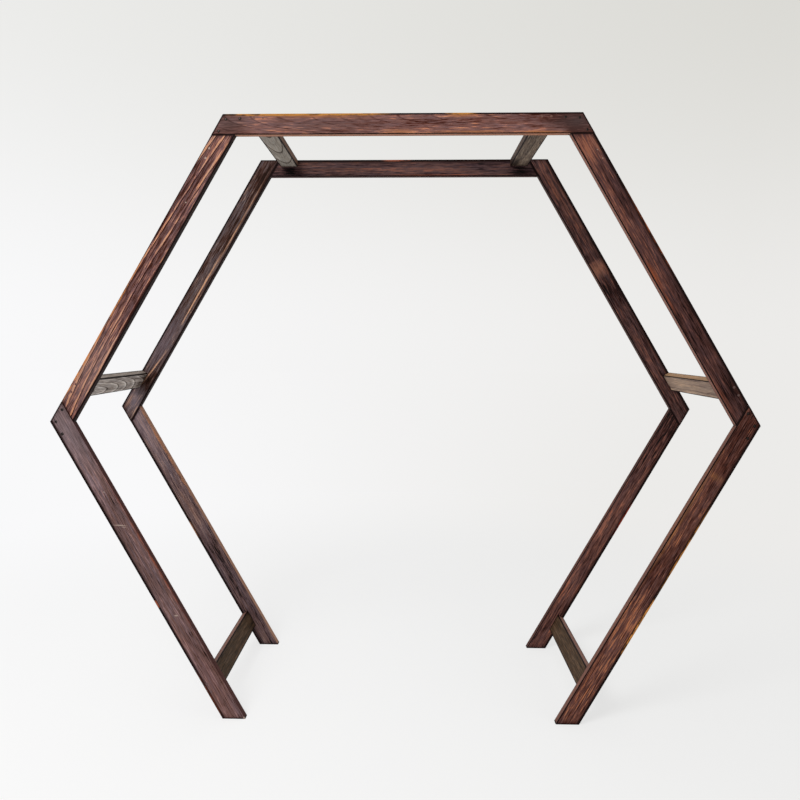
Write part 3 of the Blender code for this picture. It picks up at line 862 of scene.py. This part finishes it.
# The spacers' edge colours, too, hold painted light and shade as well as stain.
finish_spacer(
    "top_left_spacer",
    -top_x,
    TOP_Z,
    0.0,
    tones=("#4E443C", "#7C7268", "#928A80", "#A29A90", "#BAB0A4"),
    rings=(10.0, 36.0, 17.0, 9.0, 5.0), ring_depth=1.2, ring_light=0.2, texture=(0.7, 0.6, 0.7), seed=11.0,
    edge_stain=("#643C22", 0.8),
)
finish_spacer(
    "top_right_spacer",
    top_x,
    TOP_Z,
    0.0,
    tones=("#2C221C", "#54463C", "#68584C", "#7A6A5C", "#94826F"),
    rings=(-40.0, 60.0, 12.0, 10.0, 0.0), ring_depth=0.5, texture=(0.8, 1.2, 1.0), seed=12.0,
    dark=((560, 10, 90, 30, 0.7, 0), (40, 66, 60, 20, 0.8, 0)),
)
finish_spacer(
    "left_knee_spacer",
    -knee_x,
    knee_z,
    -LEG_SLOPE,
    tones=("#463B34", "#80756E", "#9F948E", "#BAB0A8", "#DAD2CC"),
    rings=(30.0, 20.0, 13.0, 16.0, 7.0), ring_depth=1.1, ring_light=0.7, texture=(0.9, 0.7, 0.8), seed=13.0,
    rims=(2.5, 5.0),
    edge_stain=("#968A80", 0.7),
    # Its far end is darkened as painted shade where it meets the rear frame.
    dark=((600, 36, 75, 70, 0.7, 0),),
)
finish_spacer(
    "right_knee_spacer",
    knee_x,
    knee_z,
    LEG_SLOPE,
    tones=("#56443A", "#826C60", "#9A8476", "#B29884", "#C8AA90"),
    rings=(-30.0, 70.0, 12.0, 12.0, 0.0), ring_depth=0.6, texture=(0.8, 0.5, 0.7), seed=14.0,
    rims=(1.8, 4.0),
    edge_stain=("#B48C64", 0.7),
    worn=((470, 36, 240, 60, 0.25, 0),),
    dark=((40, 36, 150, 60, 0.25, 0),),
)
for name, side, seed in (("left_foot_spacer", -1, 15.0), ("right_foot_spacer", 1, 16.0)):
    finish_spacer(
        name,
        side * foot_x,
        foot_z,
        side * 2 * LEG_SLOPE,
        tones=("#20160E", "#3E2E20", "#4A3828", "#584434", "#705844"),
        rings=(-30.0, 80.0, 12.0, 12.0, 0.0),
        ring_depth=0.5,
        seed=seed,
        edge_stain=("#946C60", 0.8),
    )

# Screws.
# Countersunk steel woodscrews with a black phosphate coat, driven just below the face: three through each
# lap and two through the frame into each spacer end. Their threads are in the wood and aren't made.
HEAD_SIDES = 20
HEAD_RADIUS = 0.0040
HEAD_RIM = 0.0003
HEAD_SINK = 0.0009
CONE_DEPTH = 0.0023
SHANK_RADIUS = 0.0017
SHANK_LENGTH = 0.0200
POINT_LENGTH = 0.0050
POINT_RADIUS = 0.0003
SCREW_CREASE = math.radians(32.0)
SPACER_SCREW_SPREAD = 0.031

# The head's low dome rises in these steps, each with the ratio of its radius to the last. The cross recess
# is cut by two crossed blades of this size, which taper to this share at their foot. Each screw's cross is
# turned on from the last.
DOME_STEPS = ((0.00028, 0.84), (0.00024, 0.77), (0.00016, 0.66), (0.00008, 0.5))
BLADE_SIZE = (0.0046, 0.0009, 0.0030)
BLADE_TAPER = 0.35
CROSS_TURN = 1.9

# Black phosphate on steel: fine charcoal crystals that scatter a soft grey sheen. Real ones are some
# hundredths of a millimetre, and are drawn 0.4 mm wide.
CRYSTAL_SIZE = 0.0004
DARK_CRYSTALS = "#2C2826"
LIGHT_CRYSTALS = "#3A3532"

black_phosphate, tree, shader = new_material("black_phosphated_steel")
at = add_node(tree, "ShaderNodeTexCoord").outputs["Object"]
crystals = add_node(tree, "ShaderNodeTexNoise", {"Vector": at, "Scale": 1 / CRYSTAL_SIZE, "Detail": 2.0})
tone = add_node(tree, "ShaderNodeMapRange", {"Value": crystals, **NOISE_SPAN})
mixing = {"Factor": tone, COLOUR_A: hex_colour(DARK_CRYSTALS), COLOUR_B: hex_colour(LIGHT_CRYSTALS)}
coat = add_node(tree, "ShaderNodeMix", mixing, data_type="RGBA")
span = {"Value": crystals, **NOISE_SPAN, "To Min": 0.20, "To Max": 0.34}
sheen = add_node(tree, "ShaderNodeMapRange", span)
feed(tree, shader, {"Base Color": coat.outputs[MIXED], "Roughness": sheen, "Metallic": 1.0})

# Two screws go into each spacer end, in the middle of its thickness.
spacer_spots = {}
for name, (start, turn, length, ends) in BOARDS.items():
    if name.endswith("top_rail"):
        middles = (TOP_SPACER_FROM_CORNER, length - TOP_SPACER_FROM_CORNER)
    else:
        from_low_end = KNEE_SPACER_FROM_CORNER if name.endswith("upper_leg") else FOOT_SPACER_FROM_FLOOR
        starts_low = turn[1] < 0
        middles = (from_low_end if starts_low else length - from_low_end,)
    spacer_spots[name] = [
        (middle + side * SPACER_SCREW_SPREAD / 2, -SPACER_THICKNESS / 2)
        for middle in middles
        for side in (-1, 1)
    ]


def select_faces(piece, side):
    """In edit mode, selects only the level faces that look up, for a side of 1, or down, for -1."""
    bpy.ops.mesh.select_all(action="DESELECT")
    bpy.ops.object.mode_set(mode="OBJECT")
    for face in piece.data.polygons:
        face.select = face.normal.z * side > 0.9
    bpy.ops.object.mode_set(mode="EDIT")


def begin_shaping(piece, side):
    """Applies a new piece's place and size, and opens it with its level faces on one side selected."""
    bpy.ops.object.transform_apply(location=True, rotation=True, scale=True)
    bpy.ops.object.mode_set(mode="EDIT")
    bpy.ops.mesh.select_mode(type="FACE")
    select_faces(piece, side)


bpy.ops.object.select_all(action="DESELECT")
bpy.ops.mesh.primitive_cylinder_add(
    vertices=HEAD_SIDES, radius=HEAD_RADIUS, depth=HEAD_RIM, location=(0.0, 0.0, -HEAD_RIM / 2)
)
screw = bpy.context.object
screw.name = "screw"
begin_shaping(screw, -1)
for down, radius_before, radius_after in (
    (CONE_DEPTH, HEAD_RADIUS, SHANK_RADIUS),
    (SHANK_LENGTH - POINT_LENGTH, SHANK_RADIUS, SHANK_RADIUS),
    (POINT_LENGTH, SHANK_RADIUS, POINT_RADIUS),
):
    bpy.ops.mesh.extrude_region_move(TRANSFORM_OT_translate={"value": (0.0, 0.0, -down)})
    ratio = radius_after / radius_before
    bpy.ops.transform.resize(value=(ratio, ratio, 1.0), center_override=(0.0, 0.0, 0.0))
select_faces(screw, 1)
for up, ratio in DOME_STEPS:
    bpy.ops.mesh.extrude_region_move(TRANSFORM_OT_translate={"value": (0.0, 0.0, up)})
    bpy.ops.transform.resize(value=(ratio, ratio, 1.0), center_override=(0.0, 0.0, 0.0))
bpy.ops.object.mode_set(mode="OBJECT")

for blade_turn in (0.0, math.pi / 2):
    bpy.ops.object.select_all(action="DESELECT")
    bpy.ops.mesh.primitive_cube_add(size=1.0, location=(0.0, 0.0, 0.0))
    blade = bpy.context.object
    blade.scale = BLADE_SIZE
    blade.rotation_euler = (0.0, 0.0, blade_turn)
    begin_shaping(blade, -1)
    bpy.ops.transform.resize(value=(BLADE_TAPER, BLADE_TAPER, 1.0), center_override=(0.0, 0.0, 0.0))
    bpy.ops.object.mode_set(mode="OBJECT")
    bpy.ops.object.select_all(action="DESELECT")
    bpy.context.view_layer.objects.active = screw
    screw.select_set(True)
    recess = screw.modifiers.new("recess", "BOOLEAN")
    recess.operation = "DIFFERENCE"
    recess.solver = "EXACT"
    recess.object = blade
    bpy.ops.object.modifier_apply(modifier=recess.name)
    bpy.data.objects.remove(blade, do_unlink=True)
bpy.ops.object.shade_smooth_by_angle(angle=SCREW_CREASE)
screw.data.materials.append(black_phosphate)


def place_copy(pattern, name, board_name, spot, depth, own_turn):
    """Puts a copy of a screw or plug into a board, its top at the show face and its place in its mesh."""
    bpy.ops.object.select_all(action="DESELECT")
    pattern.select_set(True)
    bpy.context.view_layer.objects.active = pattern
    bpy.ops.object.duplicate()
    copy = bpy.context.object
    copy.name = name
    start, turn = BOARDS[board_name][:2]
    board = Matrix.Translation(start) @ Euler(turn).to_matrix().to_4x4()
    upright = Matrix.Rotation(math.pi / 2, 4, "X") @ Matrix.Rotation(own_turn, 4, "Z")
    copy.matrix_world = board @ Matrix.Translation((spot[0], depth, spot[1])) @ upright
    bpy.ops.object.transform_apply(location=True, rotation=True, scale=True)
    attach(copy, "root")
    return copy


for name in BOARDS:
    for number, spot in enumerate(lap_spots[name] + spacer_spots[name], 1):
        cross_turn = (number * CROSS_TURN + len(name)) % math.tau
        driven = place_copy(screw, f"screw_{name}_{number}", name, spot, HEAD_SINK, cross_turn)
bpy.data.objects.remove(screw, do_unlink=True)

# Filler plugs.
# The screws into the spacers are hidden under tinted wood filler, pressed in with a knife and rubbed down
# nearly flush, so that only a faint, slightly paler and duller dot is left.
PLUG_SIDES = 28
PLUG_RADIUS = 0.0041
PLUG_DEPTH = 0.0007
PLUG_SINK = 0.0001
PLUG_CREASE = math.radians(40.0)
PLUG_TURN = 0.7

# The knife leaves a slightly proud rim and a dished middle: how far each ring rises, and its width.
PLUG_RINGS = ((0.00008, 0.0005), (-0.00005, 0.0011), (-0.00009, 0.0012))

# Wood filler is wood flour in a binder. The eye gets a dull dot with fine specks, drawn 1.1 mm wide.
SPECKS_PER_METRE = 900.0
PLUG_TONES = {
    "front_top_rail": "#6E4F45",
    "front_left_upper_leg": "#6A4A44",
    "front_right_upper_leg": "#5E4A46",
    "front_left_lower_leg": "#675150",
    "front_right_lower_leg": "#5C3C32",
    "rear_top_rail": "#4E3733",
    "rear_left_upper_leg": "#58463F",
    "rear_right_upper_leg": "#42302B",
    "rear_left_lower_leg": "#64504E",
    "rear_right_lower_leg": "#543832",
}

bpy.ops.object.select_all(action="DESELECT")
bpy.ops.mesh.primitive_cylinder_add(
    vertices=PLUG_SIDES, radius=PLUG_RADIUS, depth=PLUG_DEPTH, location=(0.0, 0.0, -PLUG_DEPTH / 2)
)
plug = bpy.context.object
plug.name = "plug"
begin_shaping(plug, 1)
for rise, inset in PLUG_RINGS:
    bpy.ops.mesh.inset(thickness=inset, depth=0.0)
    bpy.ops.transform.translate(value=(0.0, 0.0, rise))
bpy.ops.object.mode_set(mode="OBJECT")
bpy.ops.object.shade_smooth_by_angle(angle=PLUG_CREASE)
for name, code in PLUG_TONES.items():
    wood_filler, tree, shader = new_material("wood_filler_" + name)
    at = add_node(tree, "ShaderNodeTexCoord").outputs["Object"]
    flour = add_node(tree, "ShaderNodeTexNoise", {"Vector": at, "Scale": SPECKS_PER_METRE, "Detail": 3.0})
    span = {"Value": flour, **NOISE_SPAN, "To Min": 0.75, "To Max": 1.25}
    dusty = add_node(tree, "ShaderNodeMapRange", span)
    tinted = {0: hex_colour(code)[:3], "Scale": dusty}
    speckled = add_node(tree, "ShaderNodeVectorMath", tinted, operation="SCALE")
    span = {"Value": flour, **NOISE_SPAN, "To Min": 0.7, "To Max": 0.85}
    dull = add_node(tree, "ShaderNodeMapRange", span)
    feed(tree, shader, {"Base Color": speckled, "Roughness": dull, "IOR": 1.5, "Specular IOR Level": 0.2})
    plug.data.materials.clear()
    plug.data.materials.append(wood_filler)
    for number, spot in enumerate(spacer_spots[name], 1):
        pressed = place_copy(plug, f"filler_{name}_{number}", name, spot, PLUG_SINK, number * PLUG_TURN)
bpy.data.objects.remove(plug, do_unlink=True)
